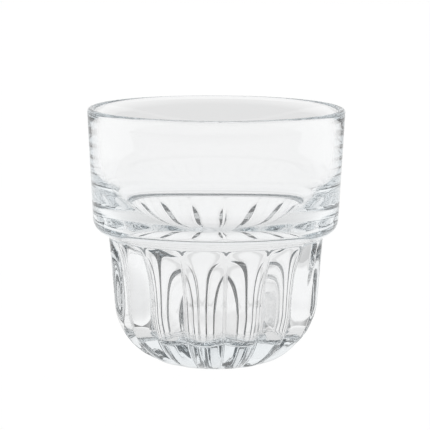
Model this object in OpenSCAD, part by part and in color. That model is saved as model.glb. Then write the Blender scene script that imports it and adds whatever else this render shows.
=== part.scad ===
// Stacking tumbler of clear pressed glass for short coffee drinks.
// A wide plain bowl stands on a narrower fluted barrel. The rounded shoulder between them rests on the rim
// of the glass below when two are stacked. The glass is one pressed piece, so it is one solid.
// Millimetres, +Z up, origin at the centre of the foot on the standing plane, front is -Y.

/* [Bowl] */
// Height of the whole glass
height = 70; // [60:0.5:90]
// Outer diameter at the rim, the widest place
rim_d = 70; // [64:0.5:90]
// Thickness of the bowl wall at the rim, which is rounded over its full width
rim_wall = 1.9; // [1.2:0.1:3]
// Outer diameter of the bowl where the shoulder starts to turn in
shoulder_d = 67; // [62:0.5:80]
// Height at which the shoulder starts to turn in
shoulder_h = 40.3; // [38:0.1:44]
// Radius of the rounded shoulder
shoulder_r = 4.9; // [3:0.1:6]
// Radius of the inside corner under the shoulder
shoulder_fillet_r = 0.9; // [0.4:0.1:1.6]

/* [Barrel] */
// Outer diameter of the barrel at the height where the shoulder starts to turn in, were it to go on up
barrel_top_d = 59.4; // [56:0.1:62]
// Outer diameter of the barrel at the top of the heel
barrel_low_d = 55.8; // [52:0.1:58]
// Height of the top of the heel, where the barrel starts to round in
heel_h = 17.1; // [14:0.1:20]
// Diameter of the flat ring that the glass stands on, at its outer edge
foot_d = 22; // [18:0.5:30]
// Width of the flat ring
foot_ring_w = 2.6; // [1.5:0.1:4]
// Depth of the hollow inside the ring
foot_dish = 0.6; // [0.3:0.1:1.2]

/* [Flutes] */
// Number of flutes round the barrel
flute_n = 15; // [12:1:18]
// Width of a flute where it is deepest
flute_w = 7.6; // [5:0.1:9]
// Depth of a flute at its middle
flute_depth = 1.9; // [1:0.05:2.2]
// Height of the top of the flutes
flute_top_h = 34.5; // [32:0.1:35]
// Length over which a flute runs out to nothing at its top
flute_runout = 13; // [9:0.1:16]
// Height at which a flute starts to bend round the heel
flute_bend_h = 15.6; // [14:0.1:16.5]
// Diameter at which a flute runs out to nothing under the heel
flute_end_d = 30; // [28:0.5:36]
// Angle of the rib next to the front of the glass, to the right of it as seen from the front
rib_turn = 5.7; // [0:0.1:24]

/* [Inside] */
// Inner diameter of the bowl where the wall starts to turn in
bowl_low_in_d = 62.8; // [60:0.1:64]
// Height at which the inner wall starts to turn in
funnel_top_h = 53.5; // [51:0.1:57]
// Radius of the sweep of the inner wall from the bowl in towards the barrel
funnel_r = 28.9; // [25:0.1:32]
// Steepest lean of that sweep from upright
funnel_lean = 36.5; // [33:0.5:40]
// Radius by which the inner wall turns back down into the barrel
throat_r = 5; // [4:0.1:8]
// Inner diameter of the barrel at its heel
cavity_low_d = 46.6; // [44:0.1:47.5]
// Height at which the inside starts to round in to the floor
cavity_heel_h = 13; // [12:0.1:18]
// Thickness of the glass under the floor
floor_t = 8.8; // [6:0.1:10]

/* [Hidden] */
$fn = 128;

// One overrun for every cut
over = 0.01 * height;
// Steps in which an arc of the section is drawn
arc_steps = 9;
full_turn = 360;
quarter_turn = 90;
// How far the flute's cutter turns on past the place where it leaves the glass, in degrees
cutter_past = 5;

// Outside of the barrel: a cone between two heights, with its lean from upright
barrel_lean = atan((barrel_top_d - barrel_low_d) / 2 / (shoulder_h - heel_h));
function barrel_r(z) = barrel_low_d / 2 + (z - heel_h) * tan(barrel_lean);

// Heel: the arc that leaves the barrel without a corner and meets the standing plane at the foot's edge
heel_in = barrel_low_d / 2 - foot_d / 2;
heel_r = (pow(heel_in, 2) + pow(heel_h, 2)) / (2 * (heel_in * cos(barrel_lean) - heel_h * sin(barrel_lean)));
heel_c = [barrel_low_d / 2 - heel_r * cos(barrel_lean), heel_h + heel_r * sin(barrel_lean)];
foot_turn = acos((foot_d / 2 - heel_c.x) / heel_r);

// Shoulder: a quarter round under the bowl
shoulder_c = [shoulder_d / 2 - shoulder_r, shoulder_h];

// Corner under the shoulder: a circle that touches the barrel and the shoulder from outside
fillet_x = barrel_r(shoulder_h) + shoulder_fillet_r / cos(barrel_lean) - shoulder_c.x;
fillet_reach = shoulder_r + shoulder_fillet_r;
fillet_down = cos(barrel_lean) * (fillet_x * sin(barrel_lean)
    + sqrt(pow(fillet_reach, 2) - pow(fillet_x * cos(barrel_lean), 2)));
fillet_c = [shoulder_c.x + fillet_x - fillet_down * tan(barrel_lean), shoulder_h - fillet_down];
fillet_turn = atan2(shoulder_c.y - fillet_c.y, shoulder_c.x - fillet_c.x);

// Inside of the bowl: the wall, the sweep, and the turn back down
funnel_start = atan((rim_d / 2 - rim_wall - bowl_low_in_d / 2) / (height - funnel_top_h));
funnel_c = [bowl_low_in_d / 2 - funnel_r * cos(funnel_start), funnel_top_h + funnel_r * sin(funnel_start)];
funnel_end = funnel_c + funnel_r * [cos(funnel_lean), -sin(funnel_lean)];
throat_c = funnel_end + throat_r * [cos(funnel_lean), -sin(funnel_lean)];

// Inside of the barrel: a line from the cavity's heel that touches the throat's round
throat_off = throat_c - [cavity_low_d / 2, cavity_heel_h];
cavity_lean = atan(throat_off.x / throat_off.y) - asin(throat_r / norm(throat_off));
cavity_heel_r = (cavity_heel_h - floor_t) / (1 - sin(cavity_lean));
cavity_heel_c = [cavity_low_d / 2 - cavity_heel_r * cos(cavity_lean), floor_t + cavity_heel_r];

// Flute: a round cutter that follows the barrel and the heel and leaves the glass at the top on an arc
flute_r = (pow(flute_w / 2, 2) + pow(flute_depth, 2)) / (2 * flute_depth);
runout_r = (pow(flute_runout, 2) + pow(flute_depth, 2)) / (2 * flute_depth) - flute_r;
runout_turn = asin(flute_runout / (runout_r + flute_r)) + cutter_past;
runout_h = flute_top_h - flute_runout * cos(barrel_lean);
flute_off = flute_r - flute_depth;

// Round the heel the flute's bottom follows one arc, from the barrel's line to the place where it runs out
wall_out = [cos(barrel_lean), -sin(barrel_lean)];
bend_start = [barrel_r(flute_bend_h), flute_bend_h] - flute_depth * wall_out;
flute_end_turn = acos((flute_end_d / 2 - heel_c.x) / heel_r);
flute_end = heel_c + heel_r * [cos(flute_end_turn), -sin(flute_end_turn)];
bend_across = flute_end - bend_start;
bend_r = -pow(norm(bend_across), 2) / (2 * bend_across * wall_out);
bend_c = bend_start - bend_r * wall_out;
bend_turn = atan2(bend_c.y - flute_end.y, flute_end.x - bend_c.x) - barrel_lean + cutter_past;

// Points along an arc from one angle to another, both ends included
function arc(centre, r, start, end) = [
  for (k = [0 : arc_steps]) let (a = start + (end - start) * k / arc_steps) centre + r * [cos(a), sin(a)]
];

// Half section of the outside, from under the foot up to the rim, closed along the axis
module outside_section() {
  polygon(concat(
    [[0, 0]],
    arc(heel_c, heel_r, -foot_turn, -barrel_lean),
    arc(fillet_c, shoulder_fillet_r, full_turn / 2 - barrel_lean, fillet_turn),
    arc(shoulder_c, shoulder_r, fillet_turn - full_turn / 2, 0),
    arc([rim_d / 2 - rim_wall / 2, height - rim_wall / 2], rim_wall / 2, 0, full_turn / 2),
    [[0, height - rim_wall / 2]]
  ));
}

// Half section of the hollow that the drink fills, from the floor up and out of the mouth
module inside_section() {
  polygon(concat(
    [[0, floor_t]],
    arc(cavity_heel_c, cavity_heel_r, -quarter_turn, -cavity_lean),
    arc(throat_c, throat_r, full_turn / 2 - cavity_lean, full_turn / 2 - funnel_lean),
    arc(funnel_c, funnel_r, -funnel_lean, -funnel_start),
    [[rim_d / 2 - rim_wall, height - rim_wall / 2], [rim_d / 2 - rim_wall, height + over], [0, height + over]]
  ));
}

// The turned shape of the glass before the flutes are cut
module turned_body() {
  rotate_extrude() difference() {
    outside_section();
    inside_section();
  }
}

// One flute's cutter, on the +X side: up the barrel, out at the top, and round the heel
module flute() {
  translate([barrel_r(flute_bend_h), 0, flute_bend_h]) rotate([0, barrel_lean, 0]) translate([flute_off, 0, 0]) {
    length = (runout_h - flute_bend_h) / cos(barrel_lean);
    cylinder(r = flute_r, h = length);
    translate([runout_r, 0, length]) rotate([-quarter_turn, 0, 0]) rotate([0, 0, full_turn / 2])
      rotate_extrude(angle = runout_turn) translate([runout_r, 0]) circle(r = flute_r);
    translate([-bend_r - flute_r, 0, 0]) rotate([-quarter_turn, 0, 0])
      rotate_extrude(angle = bend_turn) translate([bend_r + flute_r, 0]) circle(r = flute_r);
  }
}

// The glass: turned body, fluted barrel and the shallow hollow under the foot
module tumbler() {
  color("aliceblue") rotate([0, 0, rib_turn - quarter_turn]) difference() {
    turned_body();
    for (i = [0 : flute_n - 1]) rotate([0, 0, (i + 1 / 2) * full_turn / flute_n]) flute();
    translate([0, 0, -over]) cylinder(r1 = foot_d / 2 - foot_ring_w, r2 = 0, h = foot_dish + over);
  }
}

tumbler();
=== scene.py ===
"""Clear pressed stacking tumbler: the glass, its finish, the studio round it and the camera.

Lengths are millimetres until a mesh is made in metres.
"""

import logging
import math
from dataclasses import dataclass, field
from enum import Enum

import bpy
import numpy as np
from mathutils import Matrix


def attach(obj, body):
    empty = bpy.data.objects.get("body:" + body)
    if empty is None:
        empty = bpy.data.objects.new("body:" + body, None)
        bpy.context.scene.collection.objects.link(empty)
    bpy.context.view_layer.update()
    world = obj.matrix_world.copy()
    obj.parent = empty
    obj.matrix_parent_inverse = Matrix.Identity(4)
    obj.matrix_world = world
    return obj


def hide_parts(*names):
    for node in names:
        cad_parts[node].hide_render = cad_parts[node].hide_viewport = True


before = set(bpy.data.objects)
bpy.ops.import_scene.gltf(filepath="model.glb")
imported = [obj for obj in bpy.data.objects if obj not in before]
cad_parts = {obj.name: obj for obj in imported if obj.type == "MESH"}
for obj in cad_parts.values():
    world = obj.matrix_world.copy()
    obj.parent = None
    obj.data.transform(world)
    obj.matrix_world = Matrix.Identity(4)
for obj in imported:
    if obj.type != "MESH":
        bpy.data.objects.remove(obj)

log = logging.getLogger("tumbler")

MM = 0.001
FULL_TURN = 2 * math.pi
QUARTER_TURN = math.pi / 2
# Keeps the flutes' sums finite where the outside turns level under the foot
LEAST_LEVEL = 0.05


class Side(Enum):
    """Which face of the glass wall a stretch of the half section belongs to."""

    OUTSIDE = "outside"
    INSIDE = "inside"


@dataclass(frozen=True)
class Station:
    """One point of the half section.

    Args:
        r: Distance from the axis.
        z: Height over the standing plane.
        lean: Angle of the outward normal over the level, in radians.
    """

    r: float
    z: float
    lean: float


def arc(centre: tuple[float, float], radius: float, start: float, end: float, count: int) -> list[Station]:
    """Stations along an arc, both ends included.

    Args:
        centre: Centre of the arc as (r, z).
        radius: Radius of the arc.
        start: Angle of the first station over the level, in radians.
        end: Angle of the last station.
        count: Number of stations.

    Returns:
        The stations in order, with normals away from the centre.
    """
    turns = np.linspace(start, end, count)
    return [
        Station(centre[0] + radius * math.cos(t), centre[1] + radius * math.sin(t), float(t)) for t in turns
    ]


def line(start: tuple[float, float], end: tuple[float, float], count: int, lean: float) -> list[Station]:
    """Stations along a straight stretch, both ends left out.

    Args:
        start: First point as (r, z).
        end: Last point.
        count: Number of stations between them.
        lean: Angle of the normal over the level, in radians.

    Returns:
        The stations in order.
    """
    shares = np.linspace(0, 1, count + 2)[1:-1]
    return [
        Station(start[0] + (end[0] - start[0]) * s, start[1] + (end[1] - start[1]) * s, lean) for s in shares
    ]


@dataclass(frozen=True)
class Rows:
    """How many stations each stretch of the half section has, from under the foot round to the floor."""

    dish: int = 3
    heel: int = 44
    barrel: int = 11
    runout: int = 26
    fillet: int = 6
    shoulder: int = 14
    wall: int = 9
    rim: int = 7
    inner_wall: int = 8
    funnel: int = 20
    throat: int = 12
    cavity: int = 10
    cavity_heel: int = 20
    floor: int = 3


@dataclass
class Outline:
    """Sizes of the turned shape, with its inside fitted to the lines that show through the glass."""

    height: float = 70.0
    rim_d: float = 70.0
    rim_wall: float = 1.9
    shoulder_d: float = 67.0
    shoulder_h: float = 40.3
    shoulder_r: float = 4.9
    shoulder_fillet_r: float = 0.9
    barrel_top_d: float = 59.4
    barrel_low_d: float = 55.8
    heel_h: float = 17.1
    foot_d: float = 22.0
    foot_ring_w: float = 2.6
    foot_ring_edge: float = 0.3
    foot_dish: float = 0.6
    bowl_low_in_d: float = 63.0
    funnel_top_h: float = 54.0
    funnel_r: float = 27.0
    funnel_lean: float = math.radians(36.8)
    throat_r: float = 6.5
    cavity_low_d: float = 47.4
    cavity_heel_h: float = 12.6
    floor_t: float = 8.9
    rows: Rows = field(default_factory=Rows)

    def __post_init__(self) -> None:
        """Works out the arcs' centres and radii from the sizes."""
        self.place_outside()
        self.place_inside()

    def place_outside(self) -> None:
        """Works out the heel, the shoulder and the corner under it."""
        self.barrel_lean = math.atan(
            (self.barrel_top_d - self.barrel_low_d) / 2 / (self.shoulder_h - self.heel_h)
        )
        low_r = self.barrel_low_d / 2
        sin_b, cos_b = math.sin(self.barrel_lean), math.cos(self.barrel_lean)
        heel_in = low_r - self.foot_d / 2
        self.heel_r = (heel_in**2 + self.heel_h**2) / (2 * (heel_in * cos_b - self.heel_h * sin_b))
        self.heel_c = (low_r - self.heel_r * cos_b, self.heel_h + self.heel_r * sin_b)
        self.shoulder_c = (self.shoulder_d / 2 - self.shoulder_r, self.shoulder_h)
        reach = self.shoulder_r + self.shoulder_fillet_r
        across = self.barrel_radius(self.shoulder_h) + self.shoulder_fillet_r / cos_b - self.shoulder_c[0]
        down = cos_b * (across * sin_b + math.sqrt(reach**2 - (across * cos_b) ** 2))
        self.fillet_c = (
            self.shoulder_c[0] + across - down * math.tan(self.barrel_lean),
            self.shoulder_h - down,
        )
        self.fillet_turn = math.atan2(
            self.shoulder_c[1] - self.fillet_c[1], self.shoulder_c[0] - self.fillet_c[0]
        )
        self.rim_c = (self.rim_d / 2 - self.rim_wall / 2, self.height - self.rim_wall / 2)
        self.bowl_lean = -math.atan((self.rim_d - self.shoulder_d) / 2 / (self.rim_c[1] - self.shoulder_h))

    def place_inside(self) -> None:
        """Works out the funnel, the throat and the cavity's heel."""
        in_r = self.bowl_low_in_d / 2
        self.funnel_start = math.atan(
            (self.rim_d / 2 - self.rim_wall - in_r) / (self.height - self.funnel_top_h)
        )
        self.funnel_c = (
            in_r - self.funnel_r * math.cos(self.funnel_start),
            self.funnel_top_h + self.funnel_r * math.sin(self.funnel_start),
        )
        sweep = self.funnel_r + self.throat_r
        self.throat_c = (
            self.funnel_c[0] + sweep * math.cos(self.funnel_lean),
            self.funnel_c[1] - sweep * math.sin(self.funnel_lean),
        )
        off = (self.throat_c[0] - self.cavity_low_d / 2, self.throat_c[1] - self.cavity_heel_h)
        self.cavity_lean = math.atan2(off[0], off[1]) - math.asin(self.throat_r / math.hypot(*off))
        self.cavity_heel_r = (self.cavity_heel_h - self.floor_t) / (1 - math.sin(self.cavity_lean))
        self.cavity_heel_c = (
            self.cavity_low_d / 2 - self.cavity_heel_r * math.cos(self.cavity_lean),
            self.floor_t + self.cavity_heel_r,
        )

    def barrel_radius(self, z: float) -> float:
        """Outer radius of the barrel's cone at a height."""
        return self.barrel_low_d / 2 + (z - self.heel_h) * math.tan(self.barrel_lean)

    def section(self, runout_h: float) -> list[tuple[Side, Station]]:
        """The half section from under the foot, up the outside, over the rim and down to the floor.

        Args:
            runout_h: Height above which the flutes run out, where stations lie closer.

        Returns:
            Each station with the side it is on.
        """
        outside, inside = self.outside(runout_h), self.inside()
        return [(Side.OUTSIDE, s) for s in outside] + [(Side.INSIDE, s) for s in inside]

    def outside(self, runout_h: float) -> list[Station]:
        """The outside, from under the foot to the top of the rim.

        Args:
            runout_h: Height above which the flutes run out.

        Returns:
            The stations in order.
        """
        rows, lean = self.rows, self.barrel_lean
        foot_r, ring_in = self.foot_d / 2, self.foot_d / 2 - self.foot_ring_w
        foot_turn = -math.acos((foot_r - self.heel_c[0]) / self.heel_r)
        fillet_low_z = self.fillet_c[1] + self.shoulder_fillet_r * math.sin(lean)
        heel_top = (self.barrel_low_d / 2, self.heel_h)
        runout = (self.barrel_radius(runout_h), runout_h)
        fillet_low = (self.barrel_radius(fillet_low_z), fillet_low_z)
        fillet = arc(self.fillet_c, self.shoulder_fillet_r, math.pi - lean, self.fillet_turn, rows.fillet)
        under = self.fillet_turn - math.pi
        stations = [Station(0.0, self.foot_dish, -QUARTER_TURN)]
        stations += line((0.0, self.foot_dish), (ring_in, 0.0), rows.dish, -QUARTER_TURN)
        stations += [Station(r, 0.0, -QUARTER_TURN) for r in (ring_in, foot_r - self.foot_ring_edge)]
        stations += arc(self.heel_c, self.heel_r, foot_turn, -lean, rows.heel)
        stations += line(heel_top, runout, rows.barrel, -lean)
        stations += line(runout, fillet_low, rows.runout, -lean)
        stations += [Station(s.r, s.z, s.lean - math.pi) for s in fillet]
        stations += arc(self.shoulder_c, self.shoulder_r, under, 0, rows.shoulder)[1:]
        stations += line(
            (self.shoulder_d / 2, self.shoulder_h), (self.rim_d / 2, self.rim_c[1]), rows.wall, self.bowl_lean
        )
        return stations + arc(self.rim_c, self.rim_wall / 2, 0, QUARTER_TURN, rows.rim)

    def inside(self) -> list[Station]:
        """The inside, from the top of the rim to the middle of the floor."""
        rows, start, lean = self.rows, self.funnel_start, self.cavity_lean
        wall_top = (self.rim_c[0] - self.rim_wall / 2, self.rim_c[1])
        wall_low = (self.bowl_low_in_d / 2, self.funnel_top_h)
        stations = arc(self.rim_c, self.rim_wall / 2, QUARTER_TURN, math.pi, rows.rim)[1:]
        stations += line(wall_top, wall_low, rows.inner_wall, math.pi + start)
        stations += arc(self.funnel_c, self.funnel_r, -start, -self.funnel_lean, rows.funnel)
        stations += arc(
            self.throat_c, self.throat_r, math.pi - self.funnel_lean, math.pi - lean, rows.throat
        )[1:]
        throat_low = (stations[-1].r, stations[-1].z)
        cavity_low = (self.cavity_low_d / 2, self.cavity_heel_h)
        stations += line(throat_low, cavity_low, rows.cavity, math.pi - lean)
        stations += arc(self.cavity_heel_c, self.cavity_heel_r, -lean, -QUARTER_TURN, rows.cavity_heel)
        stations += line((self.cavity_heel_c[0], self.floor_t), (0.0, self.floor_t), rows.floor, QUARTER_TURN)
        return stations + [Station(0.0, self.floor_t, QUARTER_TURN)]


@dataclass
class Flutes:
    """Sizes of the flutes, and how deep each lies under the turned surface."""

    outline: Outline
    count: int = 15
    width: float = 7.6
    depth: float = 1.7
    top_h: float = 35.2
    runout: float = 17.0
    end_d: float = 30.0
    rib_turn: float = math.radians(-6.3)
    crown: float = 0.4
    edge_soft: float = 0.12

    def __post_init__(self) -> None:
        """Works out the cutter's radius and the arcs that it follows."""
        body = self.outline
        self.pitch = FULL_TURN / self.count
        self.cutter_r = ((self.width / 2) ** 2 + self.depth**2) / (2 * self.depth)
        self.runout_r = (self.runout**2 + self.depth**2) / (2 * self.depth)
        self.runout_h = self.top_h - self.runout * math.cos(body.barrel_lean)
        end_turn = math.acos((self.end_d / 2 - body.heel_c[0]) / body.heel_r) - body.barrel_lean
        inner = body.heel_r - self.depth
        step = 2 * (body.heel_r**2 - inner**2) / (1 - math.cos(end_turn))
        self.fade = (math.sqrt(inner**2 + step) - inner) / 2

    def middle_depth(self, station: Station) -> float:
        """Depth of a flute at its middle, under one station of the outside.

        Args:
            station: A station of the outside.

        Returns:
            The depth, negative where the cutter is clear of the glass.
        """
        body = self.outline
        if station.z > self.runout_h:
            rise = (station.z - self.runout_h) / math.cos(body.barrel_lean)
            if rise >= self.runout_r:
                return -self.depth
            return max(self.depth - self.runout_r + math.sqrt(self.runout_r**2 - rise**2), -self.depth)
        if station.z >= body.heel_h:
            return self.depth
        if station.r <= body.foot_d / 2:
            return -self.depth
        turn = -math.atan2(station.z - body.heel_c[1], station.r - body.heel_c[0]) - body.barrel_lean
        path = body.heel_r - self.depth + self.fade
        reach = math.sqrt(path**2 - (self.fade * math.sin(turn)) ** 2) - self.fade * math.cos(turn)
        return body.heel_r - reach

    def cutter(self, station: Station, depth: float) -> tuple[float, float, float]:
        """Where the round cutter lies in the plane square to the outside.

        Args:
            station: A station of the outside.
            depth: The flute's depth there.

        Returns:
            The share of a turn round the axis that shows in that plane, the outside's radius in it, and the
            distance of the cutter's centre.
        """
        level = max(math.cos(station.lean), LEAST_LEVEL)
        wall = station.r / level
        return level, wall, wall + self.cutter_r - depth

    def half_turn(self, station: Station, depth: float) -> float:
        """Angle from a flute's middle to its edge.

        Args:
            station: A station of the outside.
            depth: The flute's depth there.

        Returns:
            The angle round the axis, in radians, zero where there is no flute.
        """
        if depth <= 0:
            return 0.0
        level, wall, far = self.cutter(station, depth)
        cos_a = (wall**2 + far**2 - self.cutter_r**2) / (2 * wall * far)
        return math.acos(min(1.0, cos_a)) / level

    def cut(self, station: Station, depth: float, offset: np.ndarray) -> np.ndarray:
        """How far the glass lies under the turned surface.

        Args:
            station: The station of the outside.
            depth: The flute's depth at its middle there.
            offset: Angles from the flute's middle round the axis.

        Returns:
            The cut at each angle, along the normal, with its edges eased as in fire polishing.
        """
        level, wall, far = self.cutter(station, depth)
        turn = offset * level
        under = self.cutter_r**2 - (far * np.sin(turn)) ** 2
        raw = np.where(under > 0, wall - far * np.cos(turn) + np.sqrt(np.maximum(under, 0)), -self.cutter_r)
        share = min(max(depth / self.depth, 0.0), 1.0)
        half_rib = self.pitch / 2 - self.width / 2 / self.outline.barrel_radius(self.runout_h)
        rib = self.crown * share * ((self.pitch / 2 - np.abs(offset)) / half_rib) ** 2
        eased = (raw + rib + np.sqrt((raw - rib) ** 2 + self.edge_soft**2)) / 2
        rest = (-self.cutter_r + math.sqrt(self.cutter_r**2 + self.edge_soft**2)) / 2
        return np.maximum(eased - rest, 0.0)


@dataclass(frozen=True)
class GlassFinish:
    """Clear soda glass, fire polished, with the faint waves of pressing and a scuffed foot ring."""

    index: float = 1.52
    roughness: float = 0.0
    tint: tuple[float, float, float, float] = (0.8, 0.89, 0.94, 1.0)
    absorption: float = 11.0
    wave_scale: float = 70.0
    wave_strength: float = 0.002
    wave_height: float = 0.0002
    wave_detail: float = 1.0
    scuff_h: float = 0.0003
    scuff_roughness: float = 0.25

    def material(self) -> bpy.types.Material:
        """Builds the glass material."""
        mat = bpy.data.materials.new("clear_pressed_glass")
        mat.use_nodes = True
        nodes, links = mat.node_tree.nodes, mat.node_tree.links
        glass = nodes["Principled BSDF"]
        glass.inputs["Base Color"].default_value = (1, 1, 1, 1)
        glass.inputs["Metallic"].default_value = 0.0
        glass.inputs["IOR"].default_value = self.index
        glass.inputs["Transmission Weight"].default_value = 1.0
        place = nodes.new("ShaderNodeTexCoord").outputs["Object"]
        links.new(self.scuff(mat.node_tree, place), glass.inputs["Roughness"])
        links.new(self.waves(mat.node_tree, place), glass.inputs["Normal"])
        body = nodes.new("ShaderNodeVolumeAbsorption")
        body.inputs["Color"].default_value = self.tint
        body.inputs["Density"].default_value = self.absorption
        links.new(body.outputs["Volume"], nodes["Material Output"].inputs["Volume"])
        return mat

    def scuff(self, tree: bpy.types.NodeTree, place: bpy.types.NodeSocket) -> bpy.types.NodeSocket:
        """Roughness that is greatest where the glass touches the table.

        Args:
            tree: The material's node tree.
            place: Object coordinates.

        Returns:
            The roughness socket.
        """
        parts = tree.nodes.new("ShaderNodeSeparateXYZ")
        tree.links.new(place, parts.inputs[0])
        scuff = tree.nodes.new("ShaderNodeMapRange")
        scuff.inputs["From Min"].default_value = 0.0
        scuff.inputs["From Max"].default_value = self.scuff_h
        scuff.inputs["To Min"].default_value = self.scuff_roughness
        scuff.inputs["To Max"].default_value = self.roughness
        tree.links.new(parts.outputs["Z"], scuff.inputs["Value"])
        return scuff.outputs["Result"]

    def waves(self, tree: bpy.types.NodeTree, place: bpy.types.NodeSocket) -> bpy.types.NodeSocket:
        """Faint waves over the whole surface.

        Args:
            tree: The material's node tree.
            place: Object coordinates.

        Returns:
            The normal socket.
        """
        noise = tree.nodes.new("ShaderNodeTexNoise")
        noise.inputs["Scale"].default_value = self.wave_scale
        noise.inputs["Detail"].default_value = self.wave_detail
        tree.links.new(place, noise.inputs["Vector"])
        bump = tree.nodes.new("ShaderNodeBump")
        bump.inputs["Strength"].default_value = self.wave_strength
        bump.inputs["Distance"].default_value = self.wave_height
        tree.links.new(noise.outputs["Fac"], bump.inputs["Height"])
        return bump.outputs["Normal"]


@dataclass
class Tumbler:
    """The whole glass: a section spun round the axis, then fluted."""

    outline: Outline = field(default_factory=Outline)
    finish: GlassFinish = field(default_factory=GlassFinish)
    columns: int = 32
    edge_crowd: float = 3.0
    edge_band: float = math.radians(1.6)
    crowd_points: int = 721
    weld: float = 0.001
    name: str = "fluted_glass"

    def spin_section(self, stations: list[Station], start: float, steps: int) -> bpy.types.Object:
        """Spins the half section into a closed shell.

        Args:
            stations: The half section from the axis under the foot to the axis on the floor.
            start: Angle round the axis of the first column.
            steps: Number of columns.

        Returns:
            The new object, with its place in its mesh.
        """
        bpy.ops.object.select_all(action="DESELECT")
        bpy.ops.mesh.primitive_circle_add(vertices=len(stations), radius=self.outline.rim_d / 2 * MM)
        shell = bpy.context.object
        shell.name = shell.data.name = self.name
        for vertex, s in zip(shell.data.vertices, stations):
            vertex.co = (s.r * math.cos(start) * MM, s.r * math.sin(start) * MM, s.z * MM)
            vertex.select = False
        last = len(stations) - 1
        for edge in shell.data.edges:
            edge.select = set(edge.vertices) == {0, last}
        bpy.ops.object.mode_set(mode="EDIT")
        bpy.ops.mesh.select_mode(type="EDGE")
        bpy.ops.mesh.delete(type="EDGE")
        bpy.ops.mesh.select_mode(type="VERT")
        bpy.ops.mesh.select_all(action="SELECT")
        bpy.ops.mesh.spin(steps=steps, angle=FULL_TURN, center=(0, 0, 0), axis=(0, 0, 1))
        bpy.ops.mesh.select_all(action="SELECT")
        bpy.ops.mesh.remove_doubles(threshold=self.weld * MM)
        bpy.ops.mesh.normals_make_consistent(inside=False)
        bpy.ops.object.mode_set(mode="OBJECT")
        return shell

    def crowd(self, offset: np.ndarray, edge: float, pitch: float) -> np.ndarray:
        """Moves evenly spaced columns closer to a flute's edges.

        Args:
            offset: Angles from the flute's middle.
            edge: Angle from the middle to the edge.
            pitch: Angle from flute to flute.

        Returns:
            The moved angles, which keep the middles of flute and rib in place.
        """
        grid = np.linspace(-pitch / 2, pitch / 2, self.crowd_points)
        weight = 1 + self.edge_crowd * np.exp(-(((np.abs(grid) - edge) / self.edge_band) ** 2))
        total = np.concatenate([[0.0], np.cumsum((weight[1:] + weight[:-1]) / 2)])
        even = -pitch / 2 + pitch * total / total[-1]
        return np.interp(offset, even, grid)

    def flute_shell(
        self, shell: bpy.types.Object, flutes: Flutes, section: list[tuple[Side, Station]]
    ) -> None:
        """Presses the flutes into the spun shell.

        Args:
            shell: The spun shell.
            flutes: The flutes' sizes.
            section: The stations that the shell was spun from, with their sides.
        """
        count = len(shell.data.vertices)
        flat = np.empty(count * 3)
        shell.data.vertices.foreach_get("co", flat)
        points = flat.reshape(-1, 3) / MM
        radius, height = np.hypot(points[:, 0], points[:, 1]), points[:, 2]
        turn = np.arctan2(points[:, 1], points[:, 0])
        stations = [s for _, s in section]
        row = np.argmin(
            (radius[:, None] - np.array([s.r for s in stations])) ** 2
            + (height[:, None] - np.array([s.z for s in stations])) ** 2, axis=1,
        )
        first = flutes.rib_turn - QUARTER_TURN + flutes.pitch / 2
        flute_no = np.round((turn - first) / flutes.pitch)
        offset = turn - first - flute_no * flutes.pitch
        for i, (side, station) in enumerate(section):
            if side is Side.INSIDE or station.r <= flutes.outline.foot_d / 2:
                continue
            depth = flutes.middle_depth(station)
            if depth <= -flutes.depth:
                continue
            mine = np.nonzero(row == i)[0]
            moved = self.crowd(offset[mine], flutes.half_turn(station, depth), flutes.pitch)
            away = flutes.cut(station, depth, moved)
            r = station.r - away * math.cos(station.lean)
            new_turn = first + flute_no[mine] * flutes.pitch + moved
            points[mine, 0] = r * np.cos(new_turn)
            points[mine, 1] = r * np.sin(new_turn)
            points[mine, 2] = station.z - away * math.sin(station.lean)
        shell.data.vertices.foreach_set("co", (points * MM).ravel())
        shell.data.update()

    def build(self) -> bpy.types.Object:
        """Builds, dresses and seats the glass.

        Returns:
            The finished piece.
        """
        flutes = Flutes(self.outline)
        section = self.outline.section(flutes.runout_h)
        first = flutes.rib_turn - QUARTER_TURN
        shell = self.spin_section([s for _, s in section], first, self.columns * flutes.count)
        self.flute_shell(shell, flutes, section)
        bpy.ops.object.select_all(action="DESELECT")
        shell.select_set(True)
        bpy.context.view_layer.objects.active = shell
        bpy.ops.object.shade_smooth()
        shell.data.materials.append(self.finish.material())
        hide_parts("tumbler")
        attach(shell, "root")
        log.info("%s: %d vertices, %d faces", shell.name, len(shell.data.vertices), len(shell.data.polygons))
        return shell


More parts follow.
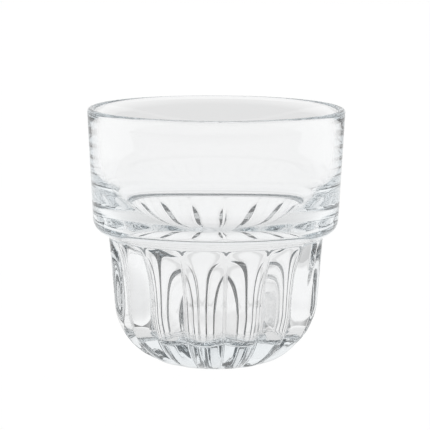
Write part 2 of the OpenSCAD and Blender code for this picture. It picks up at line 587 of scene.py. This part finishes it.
@dataclass
class Studio:
    """White bright-field studio: white to the camera, dimmer in front of the glass and at its sides; the
    floor's share of this is painted light, a glow on the floor itself.

    Each ramp is a list of (place, light) from the camera's side to the back.
    """

    floor_size: float = 3.0
    floor_paint: tuple[float, float, float, float] = (0.02, 0.02, 0.02, 1)
    floor_reach: float = 0.8
    # Painted light: the floor's glow, brighter just behind the glass and dimmer toward the camera, stands in
    # for studio light falling on the floor
    floor_glow_ramp: tuple[tuple[float, float], ...] = (
        (0.0, 0.6), (0.48, 0.7), (0.55, 0.97), (0.71, 0.97), (0.8, 0.8),
    )
    surround: tuple[tuple[float, float], ...] = ((0.0, 0.1), (0.55, 0.12), (0.75, 0.4), (0.95, 0.95))
    bounces: int = 24
    glossy_bounces: int = 16

    def lit(
        self, tree: bpy.types.NodeTree, source: bpy.types.NodeSocket, reach: float,
        stops: tuple[tuple[float, float], ...],
    ) -> bpy.types.NodeSocket:
        """Light along one direction, and white for the camera itself: the world's light, and the floor's
        painted glow.

        Args:
            tree: The material's or world's node tree.
            source: Coordinate along the direction from the camera to the back.
            reach: Coordinate at the last stop, and its negative at the first.
            stops: The ramp.

        Returns:
            The colour socket.
        """
        nodes, links = tree.nodes, tree.links
        share = nodes.new("ShaderNodeMapRange")
        share.inputs["From Min"].default_value = -reach
        share.inputs["From Max"].default_value = reach
        links.new(source, share.inputs["Value"])
        ramp = nodes.new("ShaderNodeValToRGB")
        links.new(share.outputs["Result"], ramp.inputs["Fac"])
        for i, (where, light) in enumerate(stops):
            stop = ramp.color_ramp.elements[i] if i < 2 else ramp.color_ramp.elements.new(where)
            stop.position = where
            stop.color = (light, light, light, 1)
        seen = nodes.new("ShaderNodeLightPath")
        mix = nodes.new("ShaderNodeMix")
        mix.data_type = "RGBA"
        links.new(seen.outputs["Is Camera Ray"], mix.inputs["Factor"])
        links.new(ramp.outputs["Color"], mix.inputs["A"])
        mix.inputs["B"].default_value = (1, 1, 1, 1)
        return mix.outputs["Result"]

    def floor(self) -> bpy.types.Object:
        """Builds the floor that the glass stands on: nearly black paint under a painted glow, white to the
        camera and, to other rays, brighter just behind the glass and dimmer toward the camera.
        """
        bpy.ops.object.select_all(action="DESELECT")
        bpy.ops.mesh.primitive_plane_add(size=self.floor_size, location=(0, 0, 0))
        floor = bpy.context.object
        floor.name = "floor"
        mat = bpy.data.materials.new("painted_glow_floor")
        mat.use_nodes = True
        nodes, links = mat.node_tree.nodes, mat.node_tree.links
        paint = nodes["Principled BSDF"]
        paint.inputs["Base Color"].default_value = self.floor_paint
        paint.inputs["Roughness"].default_value = 1.0
        paint.inputs["Specular IOR Level"].default_value = 0.0
        place = nodes.new("ShaderNodeTexCoord")
        parts = nodes.new("ShaderNodeSeparateXYZ")
        links.new(place.outputs["Object"], parts.inputs[0])
        light = self.lit(mat.node_tree, parts.outputs["Y"], self.floor_reach, self.floor_glow_ramp)
        # Painted light: the floor glows by the ramp instead of being lit, so the glass's shadow hardly shows
        # on it
        links.new(light, paint.inputs["Emission Color"])
        paint.inputs["Emission Strength"].default_value = 1.0
        floor.data.materials.append(mat)
        return floor

    def world(self) -> None:
        """Sets the soft surround."""
        world = bpy.data.worlds.new("surround")
        bpy.context.scene.world = world
        world.use_nodes = True
        nodes, links = world.node_tree.nodes, world.node_tree.links
        place = nodes.new("ShaderNodeTexCoord")
        parts = nodes.new("ShaderNodeSeparateXYZ")
        links.new(place.outputs["Generated"], parts.inputs[0])
        light = self.lit(world.node_tree, parts.outputs["Y"], 1.0, self.surround)
        links.new(light, nodes["Background"].inputs["Color"])

    def look(self) -> None:
        """Sets plain colours and enough bounces for light to cross both walls of the glass."""
        scene = bpy.context.scene
        scene.view_settings.view_transform = "Standard"
        scene.cycles.max_bounces = self.bounces
        scene.cycles.transmission_bounces = self.bounces
        scene.cycles.glossy_bounces = self.glossy_bounces
        scene.cycles.use_denoising = True

    def build(self) -> None:
        """Builds the floor, the surround and the look."""
        self.floor()
        self.world()
        self.look()
        log.info("studio: floor and surround")


@dataclass
class Viewpoint:
    """The photograph's camera, fitted to the glass's outline."""

    distance: float = 777.5
    elevation: float = math.radians(8.0)
    aim_h: float = 40.57
    aim_x: float = -0.2
    lens: float = 238.6
    sensor: float = 36.0
    near: float = 10.0
    roll: float = math.radians(0.3)

    def build(self) -> bpy.types.Object:
        """Creates the camera and makes it the scene's."""
        data = bpy.data.cameras.new("viewpoint")
        data.lens = self.lens
        data.sensor_width = self.sensor
        data.clip_start = self.near * MM
        camera = bpy.data.objects.new("viewpoint", data)
        bpy.context.scene.collection.objects.link(camera)
        camera.location = (
            self.aim_x * MM,
            -self.distance * math.cos(self.elevation) * MM,
            (self.aim_h + self.distance * math.sin(self.elevation)) * MM,
        )
        camera.rotation_mode = "XYZ"
        camera.rotation_euler = (QUARTER_TURN - self.elevation, 0, 0)
        camera.rotation_euler.rotate_axis("Z", self.roll)
        bpy.context.scene.camera = camera
        log.info("camera: %.0f mm lens", self.lens)
        return camera


def main() -> None:
    """Builds the camera, the studio and the glass."""
    logging.basicConfig(level=logging.INFO, format="%(name)s: %(message)s")
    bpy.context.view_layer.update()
    Viewpoint().build()
    Studio().build()
    Tumbler().build()


if __name__ == "__main__":
    main()
